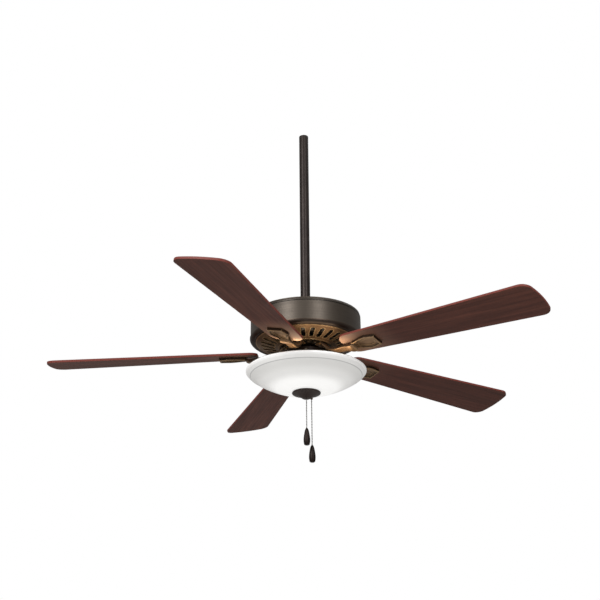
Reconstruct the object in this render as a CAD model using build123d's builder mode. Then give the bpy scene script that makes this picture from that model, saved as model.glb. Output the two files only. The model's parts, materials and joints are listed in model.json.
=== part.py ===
from build123d import *
import math
import os

# Five-blade ceiling fan with a bowl light, in millimetres, +Z up.
# The origin is the centre of the hanger-pin hole near the downrod's upper end.
# Heights below are measured up from the blade plane; lev() turns them into model Z.

# ---------------------------------------------------------------- driving dimensions
SWEEP_DIAMETER = 1320.8  # across the blade tips
BLADE_COUNT = 5
FIRST_BLADE = -37.3  # degrees from +X
BLADE_PITCH = 11.5  # degrees, the counter-clockwise edge is the lower one
BLADE_DROOP = 1.7  # degrees down from the hub to the tip
BLADE_THICK = 6.0
BLADE_ROOT = 123.0
ROOT_WIDTH = 84.0
TIP_WIDTH = 133.0
ROOT_CORNER = 26.0
TIP_CORNER = 25.0
TIP_BULGE = 9.0  # how far the tip's arc stands out past its corners

ROD_TOP = 645.8
ROD_LENGTH = 533.4
ROD_R = 12.7
ROD_BORE_R = 10.6
HANGER_HOLE_DEPTH = 20.0  # from the rod's top end to the hanger-pin hole
PIN_HOLE_R = 3.2
PIN_R = 3.1
BLADE_PLANE_Z = -(ROD_TOP - HANGER_HOLE_DEPTH)

DRUM_R = 142.5
DRUM_TOP = 101.5
DRUM_BOTTOM = 41.0
DRUM_WALL = 1.5
DRUM_EDGE = 8.0
SEAM_DROP = 10.0  # from the drum's top to the fine groove round its side
SEAM_HALF = 0.5
SEAM_DEPTH = 0.6

COVER_BULGE_R = 144.3
COVER_WALL = 2.0
CONE_SLOPE = 0.261  # rise per unit of radius
CONE_OUTER_R = 132.0
CONE_INNER_R = 67.5
SLOT_COUNT = 28
FIRST_SLOT = -42.3  # degrees
SLOT_OUTER_R = 117.5
SLOT_INNER_R = 78.5
SLOT_REF_R = 116.3
SLOT_REF_H = 27.4  # height of the cone's lower face at SLOT_REF_R
SLOT_WIDTH = 11.0
SLOT_RIM = 1.3
SLOT_RIM_PROUD = 0.6
BEAD_R = 127.0  # fine ridge round the outside of the slots
BEAD_WIDTH = 1.6
BEAD_PROUD = 0.6
INNER_LIP = 3.0

SHAFT_R = 10.0
SHAFT_BORE_R = 7.5
SHAFT_TOP = 109.5
SHAFT_BOTTOM = -7.0
BEARING_R = 21.0
BEARING_WIDTH = 12.0
UPPER_BEARING_BASE = 76.0
LOWER_BEARING_BASE = 33.0
RUNNING_GAP = 0.05

STATOR_R = 78.0
STATOR_BASE = 48.0
STATOR_TOP = 70.0
STATOR_SLOTS = 16
ROTOR_R = 94.0
ROTOR_SPLIT = 60.0
ROTOR_BASE = 17.0
ROTOR_BOSS_R = 63.0

NECK_R = 24.0
SWITCH_R = 52.0
SWITCH_TOP = -1.0
SWITCH_BOTTOM = -41.5

PAN_R = 148.0
PAN_TOP = -41.6
PAN_EDGE = -47.5
SHEET = 1.2

LIP_R = 153.8
LIP_TOP = -46.5
LIP_BOTTOM = -51.0
STEP_R = 141.8
STEP_H = -62.8
BOWL_BOTTOM = -106.0
BOWL_CURVE_R = 250.0
BOWL_HOLE_R = 27.0
GLASS = 3.2

FINIAL_R = 36.4
FINIAL_TIP = -120.7
FINIAL_TIP_R = 10.0
NIPPLE_R = 6.35
NIPPLE_BORE_R = 4.0
NIPPLE_TOP = -39.2
NIPPLE_BOTTOM = -116.5
NUT_THICK = 2.2

CHAIN_R = 1.6
CHAIN_SLACK = 0.6  # round each chain in the holes it passes
LIGHT_CHAIN_X = 13.0
LIGHT_CHAIN_Y = 19.0
FAN_PENDANT_TOP = -197.6
LIGHT_PENDANT_TOP = -236.3
PENDANT_LENGTH = 43.2
PENDANT_R = 8.35
SWITCH_BODY_R = 14.0
SWITCH_BODY_H = -24.0  # height of each pull switch's centre
SWITCH_SNOUT = 1.0
SWITCH_BORE_DEPTH = 24.0

LAMP_COUNT = 3
FIRST_LAMP = 115.0  # degrees
LAMP_H = -61.0
SOCKET_START = 28.0
SOCKET_END = 62.0
SOCKET_R = 12.0
BULB_R = 13.0
BULB_TIP = 109.0

SMALL_SCREW_R = 1.7
SMALL_HEAD_R = 3.2
SMALL_HEAD = 1.8  # thickness of the small screws' heads
HEAD_GAP = 0.1


def lev(height):
    """Model Z of a height above the blade plane."""
    return BLADE_PLANE_Z + height


def save(builder, label):
    """Name a finished piece and write its STEP file."""
    builder.part.label = label
    export_step(builder.part, "parts/" + label + ".step")


def ring(outer, inner, bottom, top, mode=Mode.ADD):
    """A disc or ring about Z between two heights, in the part being built."""
    with BuildSketch(Plane.XY.offset(lev(bottom))) as section:
        Circle(outer)
        if inner > 0:
            Circle(inner, mode=Mode.SUBTRACT)
    extrude(section.sketch, amount=top - bottom, mode=mode)


def turned(points, mode=Mode.ADD):
    """A solid turned about Z from a closed outline of (radius, height) points."""
    with BuildSketch(Plane.XZ) as section:
        with BuildLine():
            Polyline([(radius, lev(height)) for radius, height in points], close=True)
        make_face()
    revolve(section.sketch, axis=Axis.Z, mode=mode)


def post(x, y, radius, bottom, top, mode=Mode.ADD):
    """An upright round post at (x, y) between two heights."""
    with BuildSketch(Plane.XY.offset(lev(bottom))) as section:
        with Locations((x, y)):
            Circle(radius)
    extrude(section.sketch, amount=top - bottom, mode=mode)


def along(plane, radius, start, end, mode=Mode.ADD):
    """A round bar along a plane's normal, from start to end."""
    with BuildSketch(plane.offset(start)) as section:
        Circle(radius)
    extrude(section.sketch, amount=end - start, mode=mode)


def polar(radius, degrees):
    """X and Y of a point at a radius and an angle."""
    return radius * math.cos(math.radians(degrees)), radius * math.sin(math.radians(degrees))


def radial_plane(degrees, height, radius=0.0):
    """A plane whose normal points outward along a radius."""
    x, y = polar(1.0, degrees)
    return Plane(origin=(x * radius, y * radius, lev(height)), x_dir=(-y, x, 0), z_dir=(x, y, 0))


def blade_plane(number, height=0.0):
    """The tilted plane of one blade: X runs out along it, Z is its upward normal."""
    turn = math.radians(FIRST_BLADE + 360.0 / BLADE_COUNT * number)
    droop = math.radians(BLADE_DROOP)
    pitch = math.radians(BLADE_PITCH)
    out = Vector(math.cos(turn) * math.cos(droop), math.sin(turn) * math.cos(droop), -math.sin(droop))
    side = Vector(-math.sin(turn), math.cos(turn), 0)
    level_normal = out.cross(side)
    normal = level_normal * math.cos(pitch) + side * math.sin(pitch)
    return Plane(origin=(0, 0, lev(0)), x_dir=out, z_dir=normal).offset(height)


os.makedirs("parts", exist_ok=True)

# ---------------------------------------------------------------- downrod and yoke
YOKE_R = 20.0
YOKE_TOP = 139.0
ROD_BOTTOM = ROD_TOP - ROD_LENGTH
YOKE_PIN_H = 125.0
SET_SCREW_H = 133.5
SET_SCREW_R = 2.5
PIN_HEAD_R = 4.6
PIN_HEAD = 2.5
PIN_PROUD = 0.5
SCREW_HEX_R = 4.4
SCREW_HEX = 2.5
CLIP_X = 22.5
CLIP_R = 0.8
CLIP_BEND_R = 2.6
CLIP_TOP = 7.0  # above the pin's axis
CLIP_LEG = 13.0
CLIP_SHORT_LEG = 8.0
WIRE_R = 1.0
WIRE_PLACES = [(-2.6, 5.7), (2.6, 5.7), (0.0, -6.1)]
WIRE_END_GAP = 4.0

with BuildPart() as downrod:
    ring(ROD_R, ROD_BORE_R, ROD_BOTTOM, ROD_TOP)
    along(Plane.YZ, PIN_HOLE_R, -2 * ROD_R, 2 * ROD_R, mode=Mode.SUBTRACT)
    yoke_hole = Plane(origin=(0, 0, lev(YOKE_PIN_H)), x_dir=(0, 1, 0), z_dir=(1, 0, 0))
    along(yoke_hole, PIN_HOLE_R, -2 * ROD_R, 2 * ROD_R, mode=Mode.SUBTRACT)
save(downrod, "downrod")

with BuildPart() as lead_wires:
    for wire_x, wire_y in WIRE_PLACES:
        post(wire_x, wire_y, WIRE_R, SHAFT_BOTTOM - 2, ROD_TOP - WIRE_END_GAP)
save(lead_wires, "lead_wires")

with BuildPart() as yoke:
    ring(YOKE_R, 0, DRUM_TOP, YOKE_TOP)
    chamfer(yoke.edges().filter_by(GeomType.CIRCLE).sort_by(Axis.Z)[-1], length=2)
    ring(ROD_R + 0.1, 0, ROD_BOTTOM, YOKE_TOP, mode=Mode.SUBTRACT)
    ring(SHAFT_R + RUNNING_GAP, 0, DRUM_TOP, SHAFT_TOP, mode=Mode.SUBTRACT)
    ring(SHAFT_BORE_R, 0, SHAFT_TOP, ROD_BOTTOM, mode=Mode.SUBTRACT)
    along(yoke_hole, PIN_HOLE_R, -2 * YOKE_R, 2 * YOKE_R, mode=Mode.SUBTRACT)
    screw_hole = Plane(origin=(0, 0, lev(SET_SCREW_H)), x_dir=(1, 0, 0), z_dir=(0, 1, 0))
    along(screw_hole, SET_SCREW_R + RUNNING_GAP, -2 * YOKE_R, 2 * YOKE_R, mode=Mode.SUBTRACT)
save(yoke, "yoke")

with BuildPart() as yoke_pin:
    along(yoke_hole, PIN_R, -YOKE_R - PIN_PROUD, CLIP_X + PIN_HEAD)
    along(yoke_hole, PIN_HEAD_R, -YOKE_R - PIN_PROUD - PIN_HEAD, -YOKE_R - PIN_PROUD)
    clip_hole_half = PIN_HEAD_R
    post(
        CLIP_X, 0, CLIP_R + RUNNING_GAP,
        YOKE_PIN_H - clip_hole_half, YOKE_PIN_H + clip_hole_half, mode=Mode.SUBTRACT,
    )
save(yoke_pin, "yoke_pin")

with BuildPart() as yoke_pin_clip:
    # a straight leg through the pin, and a bowed leg round one side of it
    clip_top = YOKE_PIN_H + CLIP_TOP
    post(CLIP_X, 0, CLIP_R, clip_top - CLIP_LEG, clip_top)
    clip_end = Plane(origin=(CLIP_X, 0, lev(clip_top)), x_dir=(1, 0, 0), z_dir=(0, 0, 1))
    with BuildSketch(clip_end) as clip_turn:
        Circle(CLIP_R)
    bend_axis = Axis((CLIP_X, CLIP_BEND_R, lev(clip_top)), (-1, 0, 0))
    revolve(clip_turn.sketch, axis=bend_axis, revolution_arc=180)
    post(CLIP_X, 2 * CLIP_BEND_R, CLIP_R, clip_top - CLIP_SHORT_LEG, clip_top)
save(yoke_pin_clip, "yoke_pin_clip")

with BuildPart() as yoke_set_screws:
    for facing in (-1, 1):
        screw_axis = Plane(origin=(0, 0, lev(SET_SCREW_H)), x_dir=(1, 0, 0), z_dir=(0, facing, 0))
        along(screw_axis, SET_SCREW_R, ROD_R + RUNNING_GAP, YOKE_R + 1)
        with BuildSketch(screw_axis.offset(YOKE_R + 1)) as screw_head:
            RegularPolygon(radius=SCREW_HEX_R, side_count=6)
        extrude(screw_head.sketch, amount=SCREW_HEX)
save(yoke_set_screws, "yoke_set_screws")

COVER_CAP_TOP = 143.0
with BuildPart() as yoke_cover:
    with BuildSketch(Plane.XZ):
        with BuildLine():
            skirt = Line((35.0, lev(DRUM_TOP + 0.1)), (35.0, lev(DRUM_TOP + 5)))
            shoulder = ThreePointArc(skirt @ 1, (32.5, lev(128.0)), (22.0, lev(COVER_CAP_TOP)))
            crown = Line(shoulder @ 1, (ROD_R + 0.3, lev(COVER_CAP_TOP)))
            bore = Line(crown @ 1, (ROD_R + 0.3, lev(COVER_CAP_TOP - 1.5)))
            under = Line(bore @ 1, (21.0, lev(COVER_CAP_TOP - 1.5)))
            hollow = ThreePointArc(under @ 1, (31.0, lev(127.5)), (33.5, lev(DRUM_TOP + 5)))
            inside = Line(hollow @ 1, (33.5, lev(DRUM_TOP + 0.1)))
            Line(inside @ 1, skirt @ 0)
        make_face()
    revolve(axis=Axis.Z)
save(yoke_cover, "yoke_cover")

# ---------------------------------------------------------------- motor housing and vent cover
COVER_SCREW_ANGLES = [10.0, 90.0, 170.0]
COVER_SCREW_H = 45.5
SEAM_H = DRUM_TOP - SEAM_DROP

with BuildPart() as motor_housing:
    with BuildSketch(Plane.XZ):
        with BuildLine():
            Polyline(
                (SHAFT_R + 0.3, lev(DRUM_TOP)),
                (DRUM_R, lev(DRUM_TOP)),
                (DRUM_R, lev(SEAM_H + SEAM_HALF)),
                (DRUM_R - SEAM_DEPTH, lev(SEAM_H)),
                (DRUM_R, lev(SEAM_H - SEAM_HALF)),
                (DRUM_R, lev(DRUM_BOTTOM)),
                (DRUM_R - DRUM_WALL, lev(DRUM_BOTTOM)),
                (DRUM_R - DRUM_WALL, lev(DRUM_TOP - DRUM_WALL)),
                (SHAFT_R + 0.3, lev(DRUM_TOP - DRUM_WALL)),
                close=True,
            )
        drum_face = make_face()
        top_corners = drum_face.vertices().group_by(Axis.X)[-1].sort_by(Axis.Y)[-1:]
        fillet(top_corners, radius=DRUM_EDGE)
    revolve(axis=Axis.Z)
    for angle in COVER_SCREW_ANGLES:
        along(radial_plane(angle, COVER_SCREW_H), SMALL_SCREW_R + 0.1, 130, 150, mode=Mode.SUBTRACT)
save(motor_housing, "motor_housing")


def cone_height(radius):
    """Height of the vent cover's lower face at a radius."""
    return SLOT_REF_H + (radius - SLOT_REF_R) * CONE_SLOPE


with BuildPart() as vent_cover:
    bulge_top = DRUM_BOTTOM - 0.2
    with BuildSketch(Plane.XZ):
        with BuildLine():
            inner_low = cone_height(CONE_INNER_R)
            rim_low = cone_height(CONE_OUTER_R)
            # lower face: cone, then the outer roll up to the drum
            cone = Line((CONE_INNER_R, lev(inner_low)), (CONE_OUTER_R, lev(rim_low)))
            roll = ThreePointArc(cone @ 1, (141.6, lev(33.0)), (COVER_BULGE_R, lev(38.0)))
            lip = Line(roll @ 1, (COVER_BULGE_R, lev(bulge_top)))
            seat = Line(lip @ 1, (DRUM_R - DRUM_WALL - 0.1, lev(bulge_top)))
            flange = Line(seat @ 1, (DRUM_R - DRUM_WALL - 0.1, lev(COVER_SCREW_H + 4)))
            flange_top = Line(flange @ 1, (DRUM_R - DRUM_WALL - 1.9, lev(COVER_SCREW_H + 4)))
            flange_in = Line(flange_top @ 1, (DRUM_R - DRUM_WALL - 1.9, lev(38.5)))
            cone_top = (CONE_OUTER_R, lev(rim_low + COVER_WALL))
            hollow = ThreePointArc(flange_in @ 1, (137.5, lev(34.6)), cone_top)
            upper = Line(hollow @ 1, (CONE_INNER_R + 2.0, lev(inner_low + COVER_WALL + 0.5)))
            curl = Line(upper @ 1, (CONE_INNER_R + 1.6, lev(inner_low + 6.0)))
            curl_top = Line(curl @ 1, (CONE_INNER_R, lev(inner_low + 6.0)))
            Line(curl_top @ 1, cone @ 0)
        make_face()
    revolve(axis=Axis.Z)
    # raised rims round the slots, then the slots through them
    slot_length = SLOT_OUTER_R - SLOT_INNER_R
    slot_centre = (SLOT_OUTER_R + SLOT_INNER_R) / 2
    tilt = math.degrees(math.atan(CONE_SLOPE))
    slot_plane = Plane(
        origin=(slot_centre, 0, lev(cone_height(slot_centre))),
        x_dir=(math.cos(math.radians(tilt)), 0, math.sin(math.radians(tilt))),
        z_dir=(-math.sin(math.radians(tilt)), 0, math.cos(math.radians(tilt))),
    )
    with BuildSketch(slot_plane.offset(-SLOT_RIM_PROUD)) as rim_sketch:
        SlotOverall(slot_length + 2 * SLOT_RIM, SLOT_WIDTH + 2 * SLOT_RIM)
    with BuildSketch(slot_plane.offset(-4)) as slot_sketch:
        SlotOverall(slot_length, SLOT_WIDTH)
    slot_rim = extrude(rim_sketch.sketch, amount=SLOT_RIM_PROUD + 0.6, mode=Mode.PRIVATE)
    slot_cut = extrude(slot_sketch.sketch, amount=10, mode=Mode.PRIVATE)
    turns = [FIRST_SLOT + 360.0 / SLOT_COUNT * number for number in range(SLOT_COUNT)]
    # fine ridges outside and inside the ring of slots
    for ridge_in, ridge_out in ((BEAD_R, BEAD_R + BEAD_WIDTH), (CONE_INNER_R, CONE_INNER_R + INNER_LIP)):
        turned(
            [
                (ridge_in, cone_height(ridge_in) - BEAD_PROUD),
                (ridge_out, cone_height(ridge_out) - BEAD_PROUD),
                (ridge_out, cone_height(ridge_out) + COVER_WALL / 2),
                (ridge_in, cone_height(ridge_in) + COVER_WALL / 2),
            ]
        )
    add([slot_rim.rotate(Axis.Z, angle) for angle in turns])
    add([slot_cut.rotate(Axis.Z, angle) for angle in turns], mode=Mode.SUBTRACT)
    for angle in COVER_SCREW_ANGLES:
        along(radial_plane(angle, COVER_SCREW_H), SMALL_SCREW_R + RUNNING_GAP, 130, 150, mode=Mode.SUBTRACT)
save(vent_cover, "vent_cover")

with BuildPart() as vent_cover_screws:
    for angle in COVER_SCREW_ANGLES:
        screw_axis = radial_plane(angle, COVER_SCREW_H)
        along(screw_axis, SMALL_SCREW_R, DRUM_R - 6, DRUM_R + HEAD_GAP)
        along(screw_axis, SMALL_HEAD_R, DRUM_R + HEAD_GAP, DRUM_R + HEAD_GAP + SMALL_HEAD)
save(vent_cover_screws, "vent_cover_screws")

# ---------------------------------------------------------------- motor, fixed side
COLLAR_R = 15.0
COLLAR_BASE = 95.0

with BuildPart() as motor_shaft:
    ring(SHAFT_R, 0, SHAFT_BOTTOM, SHAFT_TOP)
    ring(COLLAR_R, 0, COLLAR_BASE, DRUM_TOP - DRUM_WALL - 0.02)
    ring(SHAFT_BORE_R, 0, SHAFT_BOTTOM - 1, SHAFT_TOP + 1, mode=Mode.SUBTRACT)
save(motor_shaft, "motor_shaft")

SLOT_DEPTH_R = 44.0
with BuildPart() as stator_core:
    with BuildSketch(Plane.XY.offset(lev(STATOR_BASE))):
        Circle(STATOR_R)
        Circle(SHAFT_R + RUNNING_GAP, mode=Mode.SUBTRACT)
        with PolarLocations(30, 8):
            Circle(6, mode=Mode.SUBTRACT)
        with PolarLocations((SLOT_DEPTH_R + STATOR_R - 6) / 2, STATOR_SLOTS):
            Rectangle(STATOR_R - 6 - SLOT_DEPTH_R, 10, mode=Mode.SUBTRACT)
        with PolarLocations(STATOR_R - 3, STATOR_SLOTS):
            Rectangle(8, 3, mode=Mode.SUBTRACT)
    extrude(amount=STATOR_TOP - STATOR_BASE)
save(stator_core, "stator_core")

with BuildPart() as stator_windings:
    # copper in the slots, joined by the end turns above and below the core
    for base, top in ((STATOR_BASE - 8.3, STATOR_BASE - 0.3), (STATOR_TOP + 0.3, STATOR_TOP + 5.5)):
        ring(70.0, 46.0, base, top)
        fillet(edges().filter_by(GeomType.CIRCLE).filter_by_position(Axis.Z, lev(base), lev(top)), radius=1.5)
    with BuildSketch(Plane.XY.offset(lev(STATOR_BASE - 1))):
        with PolarLocations(58, STATOR_SLOTS):
            Rectangle(22, 8)
    extrude(amount=STATOR_TOP - STATOR_BASE + 2)
save(stator_windings, "stator_windings")


def ball_bearing(base):
    """Two races and their balls, round the shaft."""
    ring(14.2, SHAFT_R + 0.02, base, base + BEARING_WIDTH)
    ring(BEARING_R, 16.8, base, base + BEARING_WIDTH)
    with Locations(Location((0, 0, lev(base + BEARING_WIDTH / 2)))):
        with PolarLocations(15.5, 9):
            Sphere(1.25)


with BuildPart() as upper_bearing:
    ball_bearing(UPPER_BEARING_BASE)
save(upper_bearing, "upper_bearing")

with BuildPart() as lower_bearing:
    ball_bearing(LOWER_BEARING_BASE)
save(lower_bearing, "lower_bearing")

# ---------------------------------------------------------------- rotor
SEAT_R = BEARING_R + RUNNING_GAP
SHELL = 3.0
FLANGE_R = 100.0
SHELL_SCREW_R = 1.9
SHELL_SCREWS = 6
SHELL_SCREW_CIRCLE = 97.0
IRON_SCREW_HALF_GAP = 6.5
IRON_SCREW_CIRCLE = 50.0
IRON_SCREW_R = 2.2
IRON_HEAD_R = 4.2
IRON_HEAD = 2.8
LUG_CIRCLE = 53.0  # lugs between the irons, each with two screws
LUG_HALF = 15.0
LUG_DEEP = 14.0
LUG_THICK = 2.4
LUG_SCREW_HALF_GAP = 8.0

with BuildPart() as rotor_upper_shell:
    turned(
        [
            (SEAT_R, UPPER_BEARING_BASE + 0.5),
            (SEAT_R + 5, UPPER_BEARING_BASE + 0.5),
            (SEAT_R + 6, 82.0),
            (86.0, 77.0),
            (ROTOR_R - SHELL, 73.0),
            (ROTOR_R - SHELL, ROTOR_SPLIT + 0.1),
            (FLANGE_R, ROTOR_SPLIT + 0.1),
            (FLANGE_R, ROTOR_SPLIT + 2.6),
            (ROTOR_R, ROTOR_SPLIT + 2.6),
            (ROTOR_R, 75.0),
            (88.0, 80.5),
            (SEAT_R + 5, 89.0),
            (SEAT_R, 89.0),
        ]
    )
    with BuildSketch(Plane.XY.offset(lev(70))):
        with PolarLocations(58, 10):
            SlotOverall(26, 9)
    extrude(amount=30, mode=Mode.SUBTRACT)
    with BuildSketch(Plane.XY.offset(lev(ROTOR_SPLIT - 1))):
        with PolarLocations(SHELL_SCREW_CIRCLE, SHELL_SCREWS):
            Circle(SHELL_SCREW_R + 0.1)
    extrude(amount=5, mode=Mode.SUBTRACT)
save(rotor_upper_shell, "rotor_upper_shell")


def iron_screw_places():
    """X and Y of the screws that hold the blade irons to the rotor."""
    places = []
    for number in range(BLADE_COUNT):
        angle = FIRST_BLADE + 360.0 / BLADE_COUNT * number
        for side in (-1, 1):
            out_x, out_y = polar(IRON_SCREW_CIRCLE, angle)
            side_x, side_y = polar(side * IRON_SCREW_HALF_GAP, angle + 90)
            places.append((out_x + side_x, out_y + side_y))
    return places


def lug_angle(number):
    """Azimuth midway between two blades."""
    return FIRST_BLADE + 360.0 / BLADE_COUNT * (number + 0.5)


with BuildPart() as rotor_lower_shell:
    turned(
        [
            (SEAT_R, LOWER_BEARING_BASE - 1.5),
            (32.0, LOWER_BEARING_BASE - 1.5),
            (32.0, ROTOR_BASE),
            (ROTOR_BOSS_R, ROTOR_BASE),
            (ROTOR_BOSS_R, 30.0),
            (86.0, 32.0),
            (ROTOR_R, 38.0),
            (ROTOR_R, ROTOR_SPLIT - 2.6),
            (FLANGE_R, ROTOR_SPLIT - 2.6),
            (FLANGE_R, ROTOR_SPLIT),
            (ROTOR_R - SHELL, ROTOR_SPLIT),
            (ROTOR_R - SHELL, 40.0),
            (84.0, 35.5),
            (72.0, 35.0),
            (SEAT_R + 5, 38.5),
            (SEAT_R + 4, LOWER_BEARING_BASE + 11),
            (SEAT_R, LOWER_BEARING_BASE + 11),
        ]
    )
    with BuildSketch(Plane.XY.offset(lev(ROTOR_BASE))):
        with Locations(*iron_screw_places()):
            Circle(IRON_SCREW_R + RUNNING_GAP)
    extrude(amount=12, mode=Mode.SUBTRACT)
    for number in range(BLADE_COUNT):
        lug_plane = Plane.XY.offset(lev(ROTOR_BASE - LUG_THICK)).rotated((0, 0, lug_angle(number)))
        with BuildSketch(lug_plane) as lug:
            with Locations((LUG_CIRCLE, 0)):
                RectangleRounded(LUG_DEEP, 2 * LUG_HALF, 4)
        extrude(lug.sketch, amount=LUG_THICK + 1)
        with BuildSketch(lug_plane) as lug_holes:
            with Locations((LUG_CIRCLE, -LUG_SCREW_HALF_GAP), (LUG_CIRCLE, LUG_SCREW_HALF_GAP)):
                Circle(IRON_SCREW_R + RUNNING_GAP)
        extrude(lug_holes.sketch, amount=12, mode=Mode.SUBTRACT)
    with BuildSketch(Plane.XY.offset(lev(ROTOR_SPLIT - 4))):
        with PolarLocations(SHELL_SCREW_CIRCLE, SHELL_SCREWS):
            Circle(SHELL_SCREW_R + 0.1)
    extrude(amount=5, mode=Mode.SUBTRACT)
save(rotor_lower_shell, "rotor_lower_shell")

with BuildPart() as rotor_cage:
    ring(ROTOR_R - SHELL - 0.1, STATOR_R + 1.0, STATOR_BASE - 1, STATOR_TOP + 1)
    fillet(rotor_cage.edges().filter_by(GeomType.CIRCLE), radius=0.8)
save(rotor_cage, "rotor_cage")

with BuildPart() as rotor_shell_screws:
    for number in range(SHELL_SCREWS):
        screw_x, screw_y = polar(SHELL_SCREW_CIRCLE, 360.0 / SHELL_SCREWS * number)
        post(screw_x, screw_y, SHELL_SCREW_R, ROTOR_SPLIT - 5.5, ROTOR_SPLIT + 3)
        post(screw_x, screw_y, 2.9, ROTOR_SPLIT + 2.7, ROTOR_SPLIT + 4.7)
        post(screw_x, screw_y, 2.9, ROTOR_SPLIT - 5.5, ROTOR_SPLIT - 2.7)
save(rotor_shell_screws, "rotor_shell_screws")

# ---------------------------------------------------------------- blade irons
PLATE_GAP = 0.05
PLATE_THICK = 8.5
PLATE_END = 222.0
PLATE_WIDE_AT = 198.0
PLATE_END_HALF = 19.5
PLATE_WIDE_HALF = 25.0
PLATE_NECK_AT = 152.0
PLATE_NECK_HALF = 13.0
PAD_OUTER = 62.0
PAD_INNER = 38.0
PAD_HALF = 14.0
PAD_THICK = 4.5
PAD_GAP = 0.1
PANEL_STEPS = [(4.2, 1.8), (8.2, 1.4), (12.2, 1.2)]  # inset from the edge, further depth
BLADE_SCREWS = [(207.0, 9.5), (207.0, -9.5), (176.0, 0.0)]
BLADE_SCREW_R = 2.3
THREAD_FLOOR = 5.0  # metal left under each blade screw
# radius, rise above the plate's neck, share of the blade's pitch, half width, thickness
ARM_STATIONS = [
    (156.0, -0.6, 1.0, 13.0, 6.7),
    (122.0, -1.6, 1.0, 11.5, 7.2),
    (102.0, -0.8, 0.8, 10.5, 7.2),
    (85.0, 2.0, 0.45, 10.8, 7.2),
    (73.0, 9.0, 0.15, 11.6, 7.6),
    (64.5, 18.0, 0.0, 13.0, 7.6),
]


def plate_outline(inset):
    """Outline of the iron's plate in the blade's plane, moved in by an inset."""
    with BuildLine() as outline:
        wide = PLATE_WIDE_HALF - inset
        end_half = PLATE_END_HALF - inset
        neck = PLATE_NECK_HALF - inset * 0.75
        start = PLATE_NECK_AT + inset * 1.2
        end = PLATE_END - inset
        lower = Spline(
            (start, -neck), (PLATE_WIDE_AT - 2, -wide),
            tangents=[(1.0, -0.12), (1.0, -0.02)],
        )
        low_corner = Line(lower @ 1, (end, -end_half))
        end_edge = Line(low_corner @ 1, (end, end_half))
        high_corner = Line(end_edge @ 1, (PLATE_WIDE_AT - 2, wide))
        upper = Spline(
            high_corner @ 1, (start, neck),
            tangents=[(-1.0, -0.02), (-1.0, -0.12)],
        )
        Line(upper @ 1, lower @ 0)
    return outline.line


def iron_section(plane, half_width, thick, corner):
    """One rounded rectangular section of the iron's arm."""
    with BuildSketch(plane) as section:
        RectangleRounded(2 * half_width, thick, corner)
    return section.sketch


def arm_plane(number, radius, height, twist):
    """A section plane across the arm, leaning with the arm's twist in degrees."""
    angle = math.radians(FIRST_BLADE + 360.0 / BLADE_COUNT * number)
    out = Vector(math.cos(angle), math.sin(angle), 0)
    side = Vector(-math.sin(angle), math.cos(angle), 0)
    lean = math.radians(twist)
    across = side * math.cos(lean) - Vector(0, 0, 1) * math.sin(lean)
    origin = out * radius + Vector(0, 0, lev(height))
    return Plane(origin=origin, x_dir=across, z_dir=out)


for number in range(BLADE_COUNT):
    face = blade_plane(number, -BLADE_THICK / 2 - PLATE_GAP)
    neck_point = face.from_local_coords((PLATE_NECK_AT, 0, -PLATE_THICK / 2))
    neck_height = neck_point.Z - lev(0)
    with BuildPart() as blade_iron:
        with BuildSketch(face.offset(-PLATE_THICK)) as plate:
            add(plate_outline(0.0))
            make_face()
        extrude(plate.sketch, amount=PLATE_THICK)
        chamfer(blade_iron.faces().sort_by(Axis((0, 0, 0), face.z_dir))[0].edges(), length=1.0)
        depth = 0.0
        for inset, step in PANEL_STEPS:
            depth += step
            with BuildSketch(face.offset(-PLATE_THICK)) as panel:
                add(plate_outline(inset))
                make_face()
            extrude(panel.sketch, amount=depth, mode=Mode.SUBTRACT)
        arm_stations = [
            arm_plane(number, radius, neck_height + rise, BLADE_PITCH * share)
            for radius, rise, share, _, _ in ARM_STATIONS
        ]
        arm_halves = [half for _, _, _, half, _ in ARM_STATIONS]
        arm_thicks = [thick for _, _, _, _, thick in ARM_STATIONS]
        arm_stations.append(arm_plane(number, PAD_OUTER - 5, ROTOR_BASE - PAD_THICK / 2 - PAD_GAP, 0))
        arm_halves.append(PAD_HALF)
        arm_thicks.append(PAD_THICK)
        sections = [
            iron_section(plane, half, thick, 2.0)
            for plane, half, thick in zip(arm_stations, arm_halves, arm_thicks)
        ]
        loft(sections)
        pad_plane = Plane(
            origin=(0, 0, lev(ROTOR_BASE - PAD_THICK - PAD_GAP)),
            x_dir=(*polar(1.0, FIRST_BLADE + 360.0 / BLADE_COUNT * number), 0),
            z_dir=(0, 0, 1),
        )
        with BuildSketch(pad_plane) as pad:
            with Locations(((PAD_INNER + PAD_OUTER) / 2, 0)):
                RectangleRounded(PAD_OUTER - PAD_INNER, 2 * PAD_HALF, 6)
        extrude(pad.sketch, amount=PAD_THICK)
        with BuildSketch(pad_plane) as pad_holes:
            with Locations(*[(IRON_SCREW_CIRCLE, side * IRON_SCREW_HALF_GAP) for side in (-1, 1)]):
                Circle(IRON_SCREW_R + RUNNING_GAP)
        extrude(pad_holes.sketch, amount=PAD_THICK + 1, mode=Mode.SUBTRACT)
        with BuildSketch(face.offset(-PLATE_THICK + THREAD_FLOOR)) as thread_holes:
            with Locations(*BLADE_SCREWS):
                Circle(BLADE_SCREW_R - 0.4)
        extrude(thread_holes.sketch, amount=PLATE_THICK, mode=Mode.SUBTRACT)
    save(blade_iron, "blade_iron_" + str(number + 1))

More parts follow.
